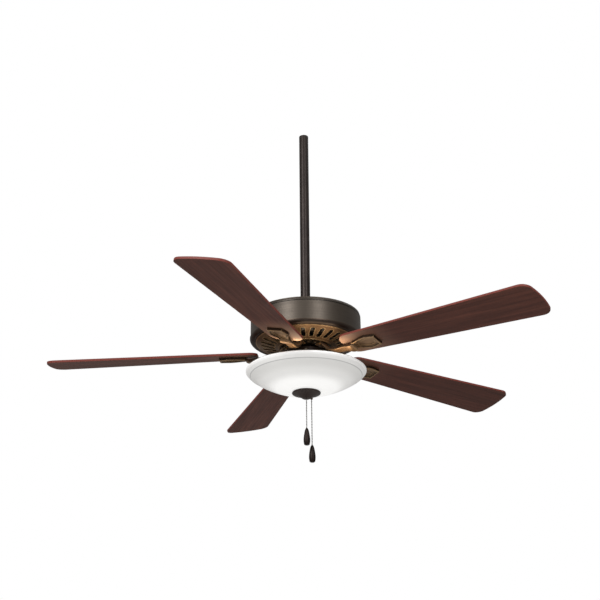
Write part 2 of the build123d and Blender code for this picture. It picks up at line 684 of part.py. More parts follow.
with BuildPart() as iron_screws:
    pad_face = ROTOR_BASE - PAD_THICK - PAD_GAP
    screw_end = ROTOR_BASE + 11
    for screw_x, screw_y in iron_screw_places():
        post(screw_x, screw_y, IRON_SCREW_R, pad_face, screw_end)
        post(screw_x, screw_y, IRON_HEAD_R, pad_face - IRON_HEAD, pad_face)
    lug_face = ROTOR_BASE - LUG_THICK
    for number in range(BLADE_COUNT):
        lug_plane = Plane.XY.offset(lev(lug_face)).rotated((0, 0, lug_angle(number)))
        lug_places = [(LUG_CIRCLE, -LUG_SCREW_HALF_GAP), (LUG_CIRCLE, LUG_SCREW_HALF_GAP)]
        with BuildSketch(lug_plane) as lug_shanks:
            with Locations(*lug_places):
                Circle(IRON_SCREW_R)
        extrude(lug_shanks.sketch, amount=screw_end - lug_face - 2)
        with BuildSketch(lug_plane) as lug_heads:
            with Locations(*lug_places):
                Circle(IRON_HEAD_R)
        extrude(lug_heads.sketch, amount=-IRON_HEAD)
save(iron_screws, "iron_screws")

# ---------------------------------------------------------------- blades
TIP_REACH = SWEEP_DIAMETER / 2
TIP_CORNER_AT = TIP_REACH - TIP_BULGE


def half_width_at(radius):
    """Half of the blade's width at a radius, on its straight taper."""
    share = (radius - BLADE_ROOT) / (TIP_CORNER_AT - BLADE_ROOT)
    return (ROOT_WIDTH + (TIP_WIDTH - ROOT_WIDTH) * share) / 2


for number in range(BLADE_COUNT):
    with BuildPart() as blade:
        with BuildSketch(blade_plane(number, -BLADE_THICK / 2)) as blade_outline:
            with BuildLine():
                root_half = half_width_at(BLADE_ROOT)
                tip_half = half_width_at(TIP_CORNER_AT)
                low_edge = Line((BLADE_ROOT, -root_half), (TIP_CORNER_AT, -tip_half))
                tip = ThreePointArc(low_edge @ 1, (TIP_REACH, 0), (TIP_CORNER_AT, tip_half))
                high_edge = Line(tip @ 1, (BLADE_ROOT, root_half))
                Line(high_edge @ 1, low_edge @ 0)
            outline = make_face()
            fillet(outline.vertices().group_by(Axis.X)[0], radius=ROOT_CORNER)
            tips = [
                corner for corner in blade_outline.vertices()
                if abs(corner.X - TIP_CORNER_AT) < 0.01 and abs(abs(corner.Y) - tip_half) < 0.01
            ]
            fillet(tips, radius=TIP_CORNER)
        extrude(amount=BLADE_THICK)
        fillet(blade.faces().sort_by(Axis.Z)[0].edges(), radius=0.8)
        with BuildSketch(blade_plane(number, -BLADE_THICK)):
            with Locations(*BLADE_SCREWS):
                Circle(BLADE_SCREW_R + 0.2)
        extrude(amount=2 * BLADE_THICK, mode=Mode.SUBTRACT)
    save(blade, "blade_" + str(number + 1))

with BuildPart() as blade_screws:
    for number in range(BLADE_COUNT):
        top = blade_plane(number, BLADE_THICK / 2 + 0.05)
        with BuildSketch(top.offset(-BLADE_THICK - 3.2)) as shanks:
            with Locations(*BLADE_SCREWS):
                Circle(BLADE_SCREW_R - 0.5)
        extrude(shanks.sketch, amount=BLADE_THICK + 3.4)
        with BuildSketch(top) as washers:
            with Locations(*BLADE_SCREWS):
                Circle(5.5)
        extrude(washers.sketch, amount=1.0)
        with BuildSketch(top.offset(1.0)) as heads:
            with Locations(*BLADE_SCREWS):
                Circle(4.0)
        extrude(heads.sketch, amount=2.0)
save(blade_screws, "blade_screws")

# ---------------------------------------------------------------- neck and switch housing
PLATE_TOP = 0.5
PLATE_BASE = -0.9
HOUSING_SCREW_ANGLES = [30.0, 150.0, 270.0]
HOUSING_SCREW_H = -7.0
TAB_R = SWITCH_R - DRUM_WALL - 0.1
REVERSE_H = -22.0
SLIDER_TRAVEL = 6.0

with BuildPart() as neck_collar:
    ring(NECK_R, SHAFT_R + 0.3, PLATE_TOP + 0.1, 28.0)
    chamfer(neck_collar.edges().filter_by(GeomType.CIRCLE).sort_by(Axis.Z)[-1:], length=1.5)
save(neck_collar, "neck_collar")

with BuildPart() as switch_plate:
    ring(TAB_R, SHAFT_R + RUNNING_GAP, PLATE_BASE, PLATE_TOP)
    for angle in HOUSING_SCREW_ANGLES:
        tab_plane = radial_plane(angle, (PLATE_BASE + HOUSING_SCREW_H - 4) / 2, TAB_R - 3.0)
        with BuildSketch(tab_plane) as tab:
            Rectangle(14, PLATE_BASE - HOUSING_SCREW_H + 4)
        extrude(tab.sketch, amount=2.4)
        along(radial_plane(angle, HOUSING_SCREW_H), SMALL_SCREW_R + RUNNING_GAP, 40, 60, mode=Mode.SUBTRACT)
save(switch_plate, "switch_plate")

with BuildPart() as shaft_nut:
    with BuildSketch(Plane.XY.offset(lev(PLATE_BASE - 5.1))):
        RegularPolygon(radius=17, side_count=6)
        Circle(SHAFT_R + RUNNING_GAP, mode=Mode.SUBTRACT)
    extrude(amount=5)
save(shaft_nut, "shaft_nut")

with BuildPart() as switch_housing:
    ring(SWITCH_R, SWITCH_R - DRUM_WALL, SWITCH_BOTTOM, SWITCH_TOP + 2.5)
    ring(SWITCH_R - 1, 14.0, SWITCH_BOTTOM, SWITCH_BOTTOM + DRUM_WALL)
    post(LIGHT_CHAIN_X, LIGHT_CHAIN_Y, 4.0, SWITCH_BOTTOM - 1, SWITCH_BOTTOM + 3, mode=Mode.SUBTRACT)
    for angle in HOUSING_SCREW_ANGLES:
        along(radial_plane(angle, HOUSING_SCREW_H), SMALL_SCREW_R + 0.1, 48, 55, mode=Mode.SUBTRACT)
    # slot for the reversing slider in the -X wall
    with BuildSketch(radial_plane(180, REVERSE_H)) as window:
        Rectangle(SLIDER_TRAVEL + 6.4, 5.0)
    extrude(window.sketch, amount=SWITCH_R + 5, mode=Mode.SUBTRACT)
save(switch_housing, "switch_housing")

with BuildPart() as switch_housing_screws:
    for angle in HOUSING_SCREW_ANGLES:
        screw_axis = radial_plane(angle, HOUSING_SCREW_H)
        along(screw_axis, SMALL_SCREW_R, SWITCH_R - 8, SWITCH_R + HEAD_GAP)
        along(screw_axis, SMALL_HEAD_R, SWITCH_R + HEAD_GAP, SWITCH_R + HEAD_GAP + SMALL_HEAD)
save(switch_housing_screws, "switch_housing_screws")


def pull_switch(x, y, half_depth):
    """A round switch body on edge, with a bore for its chain and two terminals."""
    back = Plane(origin=(x, y - half_depth, lev(SWITCH_BODY_H)), x_dir=(1, 0, 0), z_dir=(0, 1, 0))
    with BuildSketch(back) as body:
        Circle(SWITCH_BODY_R)
    extrude(body.sketch, amount=2 * half_depth)
    snout_end = SWITCH_BODY_H - SWITCH_BODY_R - SWITCH_SNOUT
    post(x, y, 4.5, snout_end, SWITCH_BODY_H)
    post(x, y, CHAIN_R + CHAIN_SLACK, snout_end - 1, snout_end + SWITCH_BORE_DEPTH, mode=Mode.SUBTRACT)
    for terminal in (-6, 6):
        with BuildSketch(Plane.XY.offset(lev(SWITCH_BODY_H + 5))) as tag:
            with Locations((x + terminal, y)):
                Rectangle(0.9, 5)
        extrude(tag.sketch, amount=SWITCH_BODY_R - 3)


with BuildPart() as fan_switch:
    pull_switch(0, 0, 9.0)
save(fan_switch, "fan_switch")

with BuildPart() as light_switch:
    pull_switch(LIGHT_CHAIN_X, LIGHT_CHAIN_Y, 7.0)
save(light_switch, "light_switch")

with BuildPart() as capacitor:
    with BuildSketch(Plane.XY.offset(lev(-37))):
        with Locations((0, -27)):
            RectangleRounded(38, 15, 2)
    extrude(amount=28)
save(capacitor, "capacitor")

with BuildPart() as reverse_switch:
    with BuildSketch(radial_plane(180, REVERSE_H, 36)) as case:
        Rectangle(24, 13)
    extrude(case.sketch, amount=13.0)
    with BuildSketch(radial_plane(180, REVERSE_H, 36)) as channel:
        Rectangle(SLIDER_TRAVEL + 6.2, 4.6)
    extrude(channel.sketch, amount=14, mode=Mode.SUBTRACT)
    with BuildSketch(radial_plane(180, REVERSE_H, 36)) as floor_plate:
        Rectangle(24, 13)
    extrude(floor_plate.sketch, amount=3.0)
save(reverse_switch, "reverse_switch")

with BuildPart() as reverse_slider:
    # rests at the +Y end of its slot and slides towards -Y
    slider_plane = radial_plane(180, REVERSE_H, 39.3)
    with BuildSketch(slider_plane) as slider:
        with Locations((-SLIDER_TRAVEL / 2, 0)):
            Rectangle(5.6, 4.0)
    extrude(slider.sketch, amount=15.5)
save(reverse_slider, "reverse_slider")

# ---------------------------------------------------------------- light kit
with BuildPart() as light_pan:
    turned(
        [
            (NIPPLE_R + RUNNING_GAP, PAN_TOP),
            (PAN_R - 8, PAN_TOP),
            (PAN_R, PAN_TOP - 2.0),
            (PAN_R, PAN_EDGE),
            (PAN_R - SHEET, PAN_EDGE),
            (PAN_R - SHEET, PAN_TOP - 2.0 - SHEET),
            (PAN_R - 8.4, PAN_TOP - SHEET),
            (NIPPLE_R + RUNNING_GAP, PAN_TOP - SHEET),
        ]
    )
    post(LIGHT_CHAIN_X, LIGHT_CHAIN_Y, 3.5, PAN_TOP - 4, PAN_TOP + 2, mode=Mode.SUBTRACT)
save(light_pan, "light_pan")

pan_under = PAN_TOP - SHEET
for number in range(LAMP_COUNT):
    lamp_angle = FIRST_LAMP + 360.0 / LAMP_COUNT * number
    lamp_axis = radial_plane(lamp_angle, LAMP_H)
    with BuildPart() as lamp_socket:
        along(lamp_axis, SOCKET_R, SOCKET_START, SOCKET_END)
        # bracket up to the pan
        with BuildSketch(radial_plane(lamp_angle, (LAMP_H + pan_under) / 2 - 0.05, SOCKET_START + 3)) as foot:
            Rectangle(12, pan_under - LAMP_H - 0.1)
        extrude(foot.sketch, amount=14)
        along(lamp_axis, 8.6, SOCKET_START + 6, SOCKET_END + 1, mode=Mode.SUBTRACT)
    save(lamp_socket, "lamp_socket_" + str(number + 1))
    with BuildPart() as bulb:
        axis_plane = Plane(
            origin=(0, 0, lev(LAMP_H)),
            x_dir=(*polar(1.0, lamp_angle), 0),
            z_dir=(*polar(1.0, lamp_angle + 90), 0),
        )
        with BuildSketch(axis_plane):
            with BuildLine():
                cap_end = Line((SOCKET_START + 8, 0), (SOCKET_START + 8, 8.3))
                cap_side = Line(cap_end @ 1, (SOCKET_END + 0.5, 8.3))
                neck = Line(cap_side @ 1, (SOCKET_END + 2, 9.5))
                swell = Spline(
                    neck @ 1, (SOCKET_END + 20, BULB_R), (BULB_TIP - 8, 6.5), (BULB_TIP, 0),
                    tangents=[(1, 0.5), (0, -1)],
                )
                Line(swell @ 1, cap_end @ 0)
            make_face()
        revolve(axis=Axis((0, 0, lev(LAMP_H)), (*polar(1.0, lamp_angle), 0)))
    save(bulb, "bulb_" + str(number + 1))

with BuildPart() as center_nipple:
    ring(NIPPLE_R, NIPPLE_BORE_R, NIPPLE_BOTTOM, NIPPLE_TOP)
save(center_nipple, "center_nipple")

with BuildPart() as nipple_nuts:
    for base in (PAN_TOP + 0.05, pan_under - NUT_THICK - 0.05):
        with BuildSketch(Plane.XY.offset(lev(base))) as nut:
            RegularPolygon(radius=11, side_count=6)
            Circle(NIPPLE_R + RUNNING_GAP, mode=Mode.SUBTRACT)
        extrude(nut.sketch, amount=NUT_THICK)
save(nipple_nuts, "nipple_nuts")


def bowl_height(radius, drop=0.0):
    """Height of the bowl's outer face at a radius, on its large arc."""
    curve = BOWL_CURVE_R - drop
    return BOWL_BOTTOM + BOWL_CURVE_R - math.sqrt(curve * curve - radius * radius)


with BuildPart() as glass_bowl:
    with BuildSketch(Plane.XZ):
        with BuildLine():
            hole_out = (BOWL_HOLE_R, lev(bowl_height(BOWL_HOLE_R)))
            step_out = (STEP_R, lev(bowl_height(STEP_R)))
            middle_r = (BOWL_HOLE_R + STEP_R) / 2
            body = ThreePointArc(hole_out, (middle_r, lev(bowl_height(middle_r))), step_out)
            ledge = Line(body @ 1, (STEP_R + 1.2, lev(STEP_H + 1.6)))
            flare = ThreePointArc(
                ledge @ 1, (149.6, lev(-55.2)), (LIP_R - 0.6, lev(LIP_BOTTOM)),
            )
            edge = ThreePointArc(flare @ 1, (LIP_R, lev(-48.6)), (LIP_R - 1.6, lev(LIP_TOP)))
            lip_inside = ThreePointArc(edge @ 1, (147.2, lev(-51.6)), (STEP_R - 2.6, lev(STEP_H + 4.6)))
            shoulder = Line(lip_inside @ 1, (STEP_R - 5.0, lev(bowl_height(STEP_R - 5.0, GLASS))))
            inner_r = (BOWL_HOLE_R + STEP_R - 5.0) / 2
            inside = ThreePointArc(
                shoulder @ 1,
                (inner_r, lev(bowl_height(inner_r, GLASS))),
                (BOWL_HOLE_R, lev(bowl_height(BOWL_HOLE_R, GLASS))),
            )
            Line(inside @ 1, body @ 0)
        make_face()
    revolve(axis=Axis.Z)
save(glass_bowl, "glass_bowl")

GASKET_OUTER = 34.0
GASKET_INNER = 27.6
FINIAL_WALL = 2.4

with BuildPart() as bowl_gasket:
    turned(
        [
            (GASKET_INNER, bowl_height(GASKET_INNER) - 0.1),
            (GASKET_INNER, bowl_height(GASKET_INNER) - 2.0),
            (GASKET_OUTER - 2.5, bowl_height(GASKET_INNER) - 2.0),
            (GASKET_OUTER - 2.0, bowl_height(GASKET_OUTER - 2.0) - 0.1),
        ]
    )
save(bowl_gasket, "bowl_gasket")

with BuildPart() as finial:
    rim_height = bowl_height(FINIAL_R - 1.0) - 0.3
    with BuildSketch(Plane.XZ):
        with BuildLine():
            rim = Line((FINIAL_R - 2.4, lev(rim_height)), (FINIAL_R - 1.2, lev(rim_height)))
            roll_end = (FINIAL_R - 1.4, lev(rim_height - 4.6))
            roll = ThreePointArc(rim @ 1, (FINIAL_R, lev(rim_height - 2.2)), roll_end)
            cone = ThreePointArc(roll @ 1, (22.6, lev(-112.6)), (FINIAL_TIP_R + 1.0, lev(FINIAL_TIP + 1.2)))
            tip_edge = Line(cone @ 1, (FINIAL_TIP_R - 1.0, lev(FINIAL_TIP)))
            bottom = Line(tip_edge @ 1, (CHAIN_R + 0.7, lev(FINIAL_TIP)))
            chain_bore = Line(bottom @ 1, (CHAIN_R + 0.7, lev(NIPPLE_BOTTOM - 0.2)))
            stop = Line(chain_bore @ 1, (NIPPLE_R + RUNNING_GAP, lev(NIPPLE_BOTTOM - 0.2)))
            thread = Line(stop @ 1, (NIPPLE_R + RUNNING_GAP, lev(-106.5)))
            boss = Line(thread @ 1, (9.6, lev(-106.5)))
            boss_side = Line(boss @ 1, (10.6, lev(-115.6)))
            hollow = Line(boss_side @ 1, (FINIAL_R - 4.4, lev(rim_height - 4.0)))
            up = Line(hollow @ 1, rim @ 0)
        make_face()
    revolve(axis=Axis.Z)
    post(LIGHT_CHAIN_X, LIGHT_CHAIN_Y, 3.3 + RUNNING_GAP, -125, -104, mode=Mode.SUBTRACT)
save(finial, "finial")

with BuildPart() as chain_bushing:
    post(LIGHT_CHAIN_X, LIGHT_CHAIN_Y, 3.3, -116.0, -108.8)
    post(LIGHT_CHAIN_X, LIGHT_CHAIN_Y, CHAIN_R + CHAIN_SLACK, -117, -108, mode=Mode.SUBTRACT)
save(chain_bushing, "chain_bushing")

# ---------------------------------------------------------------- pull chains and pendants
CHAIN_TOP = SWITCH_BODY_H - SWITCH_BODY_R - SWITCH_SNOUT + SWITCH_BORE_DEPTH - 1.0
BUSHING_BOTTOM = -116.0

with BuildPart() as fan_chain_upper:
    post(0, 0, CHAIN_R, FINIAL_TIP, CHAIN_TOP)
save(fan_chain_upper, "fan_chain_upper")

with BuildPart() as fan_pull_chain:
    post(0, 0, CHAIN_R, FAN_PENDANT_TOP, FINIAL_TIP)
save(fan_pull_chain, "fan_pull_chain")

with BuildPart() as light_chain_upper:
    post(LIGHT_CHAIN_X, LIGHT_CHAIN_Y, CHAIN_R, BUSHING_BOTTOM, CHAIN_TOP)
save(light_chain_upper, "light_chain_upper")

with BuildPart() as light_pull_chain:
    post(LIGHT_CHAIN_X, LIGHT_CHAIN_Y, CHAIN_R, LIGHT_PENDANT_TOP, BUSHING_BOTTOM)
save(light_pull_chain, "light_pull_chain")


def pendant(x, y, top):
    """A turned teardrop about an upright line, widest below its middle."""
    plane = Plane(origin=(x, y, lev(top)), x_dir=(1, 0, 0), z_dir=(0, -1, 0))
    with BuildSketch(plane) as section:
        with BuildLine():
            cap = Line((0, 0), (2.2, 0))
            collar = Line(cap @ 1, (2.9, -1.2))
            side = Spline(
                collar @ 1, (4.9, -6.0), (6.7, -15.0), (PENDANT_R, -31.0), (7.3, -40.0),
                (4.6, -PENDANT_LENGTH), tangents=[(0.7, -1), (-1, -0.35)],
            )
            base = Line(side @ 1, (0, -PENDANT_LENGTH))
            Line(base @ 1, (0, 0))
        make_face()
    revolve(section.sketch, axis=Axis((x, y, lev(top)), (0, 0, 1)))


with BuildPart() as fan_pendant:
    pendant(0, 0, FAN_PENDANT_TOP)
save(fan_pendant, "fan_pendant")

with BuildPart() as light_pendant:
    pendant(LIGHT_CHAIN_X, LIGHT_CHAIN_Y, LIGHT_PENDANT_TOP)
save(light_pendant, "light_pendant")
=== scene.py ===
import json
import math

import bpy
from mathutils import Matrix, Vector


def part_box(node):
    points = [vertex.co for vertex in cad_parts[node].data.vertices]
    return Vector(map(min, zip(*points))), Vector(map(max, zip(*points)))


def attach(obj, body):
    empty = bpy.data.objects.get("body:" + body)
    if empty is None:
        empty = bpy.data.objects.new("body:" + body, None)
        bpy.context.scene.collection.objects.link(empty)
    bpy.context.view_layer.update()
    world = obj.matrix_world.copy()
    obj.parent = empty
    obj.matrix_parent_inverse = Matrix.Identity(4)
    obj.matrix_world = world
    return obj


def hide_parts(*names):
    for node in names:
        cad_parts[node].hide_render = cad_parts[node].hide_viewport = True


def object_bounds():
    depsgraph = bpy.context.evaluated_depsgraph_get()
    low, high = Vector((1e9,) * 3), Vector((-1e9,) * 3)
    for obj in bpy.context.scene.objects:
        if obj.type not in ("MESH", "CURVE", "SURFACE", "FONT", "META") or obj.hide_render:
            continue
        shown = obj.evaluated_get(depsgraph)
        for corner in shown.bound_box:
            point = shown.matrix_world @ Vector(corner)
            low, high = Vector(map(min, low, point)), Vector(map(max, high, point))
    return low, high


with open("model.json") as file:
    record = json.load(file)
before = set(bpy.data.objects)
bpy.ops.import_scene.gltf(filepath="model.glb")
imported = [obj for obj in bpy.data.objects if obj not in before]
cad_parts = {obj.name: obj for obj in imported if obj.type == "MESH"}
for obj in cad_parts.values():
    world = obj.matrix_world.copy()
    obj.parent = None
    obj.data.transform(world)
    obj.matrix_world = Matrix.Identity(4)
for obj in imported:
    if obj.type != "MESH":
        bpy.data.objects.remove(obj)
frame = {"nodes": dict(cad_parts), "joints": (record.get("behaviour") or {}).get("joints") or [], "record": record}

NODES = frame["nodes"]
CAD_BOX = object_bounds()

# ------------------------------------------------------------------ places, from the frame
HUB = next(Vector(j["pos_m"]) for j in frame["joints"] if j["name"] == "rotor_spin")
BLADE_COUNT = 5
FIRST_BLADE = math.radians(-37.3)
BLADE_PITCH = math.radians(11.5)
BLADE_DROOP = math.radians(1.7)


def middle(node):
    """The middle of a CAD node's box."""
    low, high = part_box(node)
    return (Vector(low) + Vector(high)) / 2


def blade_angle(number):
    """Azimuth of a blade, counted from 0."""
    return FIRST_BLADE + math.tau / BLADE_COUNT * number


def blade_axes(number):
    """Unit vectors of a blade: out along it, across it, and its upward normal."""
    turn = blade_angle(number)
    out = Vector((
        math.cos(turn) * math.cos(BLADE_DROOP),
        math.sin(turn) * math.cos(BLADE_DROOP),
        -math.sin(BLADE_DROOP),
    ))
    side = Vector((-math.sin(turn), math.cos(turn), 0))
    normal = out.cross(side) * math.cos(BLADE_PITCH) + side * math.sin(BLADE_PITCH)
    return out, normal.cross(out), normal


# ------------------------------------------------------------------ camera
CAMERA_DISTANCE = 2.7450  # from the hub
CAMERA_BELOW = math.radians(20.18)  # how far under the hub's level it stands
CAMERA_YAW = math.radians(0.29)
CAMERA_TILT = math.radians(2.885)
CAMERA_ROLL = math.radians(0.6)
CAMERA_LENS = 64.10
CAMERA_SENSOR = 36.0


def make_camera():
    """A camera below and in front of the fan, looking up at it."""
    back = Vector((0, -math.cos(CAMERA_BELOW), -math.sin(CAMERA_BELOW)))
    right = Vector((1, 0, 0))
    facing_hub = Matrix((right, back.cross(right), back)).transposed()
    yaw = Matrix.Rotation(CAMERA_YAW, 3, "Y")
    tilt = Matrix.Rotation(CAMERA_TILT, 3, "X")
    roll = Matrix.Rotation(-CAMERA_ROLL, 3, "Z")
    rotation = (facing_hub @ yaw @ tilt @ roll).to_4x4()
    data = bpy.data.cameras.new("camera")
    data.lens = CAMERA_LENS
    data.sensor_width = CAMERA_SENSOR
    camera = bpy.data.objects.new("camera", data)
    camera.matrix_world = Matrix.Translation(HUB + back * CAMERA_DISTANCE) @ rotation
    bpy.context.scene.collection.objects.link(camera)
    bpy.context.scene.camera = camera


make_camera()


# ------------------------------------------------------------------ mesh helpers
def add_piece(name, verts, faces, smooth=True):
    """A new mesh object from vertices and faces, in metres in the CAD frame."""
    mesh = bpy.data.meshes.new(name)
    mesh.from_pydata([tuple(v) for v in verts], [], faces)
    mesh.update()
    if smooth:
        mesh.shade_smooth()
    piece = bpy.data.objects.new(name, mesh)
    bpy.context.scene.collection.objects.link(piece)
    return piece


class Shape:
    """Collects turned forms into one mesh."""

    def __init__(self):
        self.verts = []
        self.faces = []

    def turn(self, profile, place, segments):
        """Adds a closed turned form: profile is (radius, height) pairs, place a 4x4 matrix."""
        rings = []
        for radius, height in profile:
            start = len(self.verts)
            if radius < 1e-7:
                self.verts.append(place @ Vector((0, 0, height)))
                rings.append([start] * segments)
                continue
            for step in range(segments):
                angle = math.tau * step / segments
                point = Vector((radius * math.cos(angle), radius * math.sin(angle), height))
                self.verts.append(place @ point)
            rings.append(list(range(start, start + segments)))
        for lower, upper in zip(rings, rings[1:]):
            for step in range(segments):
                after = (step + 1) % segments
                corners = [lower[step], lower[after], upper[after], upper[step]]
                kept = [c for i, c in enumerate(corners) if c not in corners[:i]]
                if len(kept) > 2:
                    self.faces.append(kept)

    def piece(self, name):
        return add_piece(name, self.verts, self.faces)


# ------------------------------------------------------------------ pull chains
BEAD_D = 0.0032
BEAD_PITCH = 0.0041
LINK_R = 0.00055
BEAD_RINGS = 8
BEAD_SEGMENTS = 14
LINK_SEGMENTS = 8


def route_line(points):
    """The points of a smooth route, read from its NURBS spline."""
    curve = bpy.data.curves.new("route", "CURVE")
    curve.dimensions = "3D"
    spline = curve.splines.new("NURBS")
    spline.points.add(len(points) - 1)
    for target, point in zip(spline.points, points):
        target.co = (*point, 1)
    spline.order_u = 3
    spline.use_endpoint_u = True
    holder = bpy.data.objects.new("route", curve)
    mesh = bpy.data.meshes.new_from_object(holder)
    line = [v.co.copy() for v in mesh.vertices]
    bpy.data.objects.remove(holder)
    bpy.data.meshes.remove(mesh)
    return line


def point_on(line, distance):
    """The point at a distance along a line of points."""
    for start, end in zip(line, line[1:]):
        step = (end - start).length
        if distance <= step:
            return start.lerp(end, distance / step)
        distance -= step
    return line[-1].copy()


def bead_chain(name, line):
    """Round beads joined by short wire links, along a line of points."""
    length = sum((b - a).length for a, b in zip(line, line[1:]))
    count = max(2, round((length - BEAD_D) / BEAD_PITCH) + 1)
    pitch = (length - BEAD_D) / (count - 1)
    bead = []
    for step in range(BEAD_RINGS + 1):
        angle = -math.pi / 2 + math.pi * step / BEAD_RINGS
        bead.append((BEAD_D / 2 * max(math.cos(angle), 0.0), BEAD_D / 2 * math.sin(angle)))
    reach = pitch / 2
    link = [(0, -reach), (LINK_R, -reach), (LINK_R, reach), (0, reach)]
    shape = Shape()
    for number in range(count):
        centre = point_on(line, BEAD_D / 2 + pitch * number)
        shape.turn(bead, Matrix.Translation(centre), BEAD_SEGMENTS)
        if number + 1 < count:
            after = point_on(line, BEAD_D / 2 + pitch * (number + 1))
            shape.turn(link, Matrix.Translation((centre + after) / 2), LINK_SEGMENTS)
    return shape.piece(name)


def make_chains():
    """The two free chains, and the lengths inside the fan, built as bead chains."""
    made = []
    for label, body in (("fan", "fan_pull"), ("light", "light_pull")):
        node = label + "_pull_chain"
        low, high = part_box(node)
        x, y = middle(node).x, middle(node).y
        top = Vector((x, y, high.z))
        bottom = Vector((x, y, low.z))
        line = route_line([top, (top + bottom) / 2, bottom])
        chain = bead_chain(label + "_bead_chain", line)
        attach(chain, body)
        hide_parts(node)
        upper_node = label + "_chain_upper"
        upper_low, upper_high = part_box(upper_node)
        upper_line = [Vector((x, y, upper_high.z)), Vector((x, y, upper_low.z))]
        upper = bead_chain(label + "_bead_chain_inside", upper_line)
        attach(upper, body)
        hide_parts(upper_node)
        made += [chain, upper]
    return made


CHAINS = make_chains()


# ------------------------------------------------------------------ material helpers
class Paint:
    """Builds one material's nodes: a principled shader and the textures that feed it."""

    def __init__(self, name):
        self.material = bpy.data.materials.new(name)
        self.material.use_nodes = True
        self.tree = self.material.node_tree
        self.shader = self.tree.nodes["Principled BSDF"]
        self.place = self.node("ShaderNodeTexCoord").outputs["Object"]

    def node(self, kind, **settings):
        made = self.tree.nodes.new(kind)
        for key, value in settings.items():
            setattr(made, key, value)
        return made

    def feed(self, value, socket):
        """Links an output to a socket, or sets the socket to a plain value."""
        if isinstance(value, bpy.types.NodeSocket):
            self.tree.links.new(value, socket)
        else:
            socket.default_value = value

    def math(self, operation, first, second=0.0, third=None):
        made = self.node("ShaderNodeMath", operation=operation)
        self.feed(first, made.inputs[0])
        self.feed(second, made.inputs[1])
        if third is not None:
            self.feed(third, made.inputs[2])
        return made.outputs[0]

    def dot(self, first, second):
        """The dot product of two vectors."""
        made = self.node("ShaderNodeVectorMath", operation="DOT_PRODUCT")
        self.feed(first, made.inputs[0])
        self.feed(second, made.inputs[1])
        return made.outputs["Value"]

    def split(self, vector):
        """A vector's three parts."""
        made = self.node("ShaderNodeSeparateXYZ")
        self.feed(vector, made.inputs[0])
        return list(made.outputs)

    def stretch(self, scale, shift=(0, 0, 0), source=None):
        """Places scaled by a factor for each axis, then shifted."""
        made = self.node("ShaderNodeMapping")
        self.feed(self.place if source is None else source, made.inputs["Vector"])
        made.inputs["Scale"].default_value = scale
        made.inputs["Location"].default_value = shift
        return made.outputs[0]

    def noise(self, scale, detail, rough, distortion=0.0, source=None):
        made = self.node("ShaderNodeTexNoise")
        self.feed(self.place if source is None else source, made.inputs["Vector"])
        made.inputs["Scale"].default_value = scale
        made.inputs["Detail"].default_value = detail
        made.inputs["Roughness"].default_value = rough
        made.inputs["Distortion"].default_value = distortion
        return made.outputs["Fac"]

    def ramp(self, value, stops, mode="LINEAR"):
        """stops is a list of (position, grey or colour)."""
        made = self.node("ShaderNodeValToRGB")
        made.color_ramp.interpolation = mode
        points = made.color_ramp.elements
        while len(points) < len(stops):
            points.new(0.5)
        for point, (position, colour) in zip(points, stops):
            point.position = position
            if isinstance(colour, (int, float)):
                colour = (colour, colour, colour)
            point.color = (*colour, 1)
        self.feed(value, made.inputs["Fac"])
        return made.outputs["Color"]

    def span(self, value, low, high, new_low=0.0, new_high=1.0):
        """Maps a value from one range to another, clamped."""
        made = self.node("ShaderNodeMapRange")
        self.feed(value, made.inputs["Value"])
        made.inputs["From Min"].default_value = low
        made.inputs["From Max"].default_value = high
        made.inputs["To Min"].default_value = new_low
        made.inputs["To Max"].default_value = new_high
        return made.outputs["Result"]

    def near(self, value, level, outer, inner):
        """1 within the inner distance from a level, and 0 beyond the outer one."""
        away = self.math("ABSOLUTE", self.math("SUBTRACT", value, level))
        return self.span(away, outer, inner)

    def mix(self, share, first, second):
        """The first colour at a share of 0, and the second at 1."""
        made = self.node("ShaderNodeMix", data_type="RGBA")
        self.feed(share, made.inputs["Factor"])
        for colour, socket in ((first, made.inputs[6]), (second, made.inputs[7])):
            if isinstance(colour, tuple) and len(colour) == 3:
                colour = (*colour, 1)
            self.feed(colour, socket)
        return made.outputs[2]

    def mottle(self, noise, dark, light):
        """A colour that wanders from dark to light with a noise."""
        return self.mix(self.span(noise, 0.3, 0.7), dark, light)

    def over(self, base, colour, mask, share=1.0):
        """Lays a colour over a base where a mask is 1, as strongly as the share."""
        return self.mix(self.math("MULTIPLY", mask, share), base, colour)

    def bump(self, height, distance, strength):
        made = self.node("ShaderNodeBump")
        made.inputs["Strength"].default_value = strength
        made.inputs["Distance"].default_value = distance
        self.feed(height, made.inputs["Height"])
        self.feed(made.outputs["Normal"], self.shader.inputs["Normal"])

    def edges(self, radius):
        """About 1 on sharp edges and 0 on flat faces, from a rounded-normal comparison."""
        rounded = self.node("ShaderNodeBevel", samples=6)
        rounded.inputs["Radius"].default_value = radius
        true = self.node("ShaderNodeNewGeometry")
        return self.span(self.dot(rounded.outputs["Normal"], true.outputs["Normal"]), 1.0, 0.86)

    def hollow(self, distance):
        """About 1 deep in recesses and 0 on open faces."""
        made = self.node("ShaderNodeAmbientOcclusion", samples=6)
        made.inputs["Distance"].default_value = distance
        return self.span(made.outputs["AO"], 0.85, 0.2)

    def set(self, **values):
        """Sets the shader's own sockets by name, with underscores for spaces."""
        for key, value in values.items():
            socket = self.shader.inputs[key.replace("_", " ")]
            if isinstance(value, tuple) and len(value) == 3 and socket.type == "RGBA":
                value = (*value, 1)
            self.feed(value, socket)


def scaled(colour, share):
    """A colour times a share."""
    return tuple(part * share for part in colour)


def radius_and_height(paint):
    """Distance from the fan's upright axis, and height."""
    x, y, z = paint.split(paint.place)
    squares = paint.math("MULTIPLY_ADD", y, y, paint.math("MULTIPLY", x, x))
    return paint.math("SQRT", squares), z


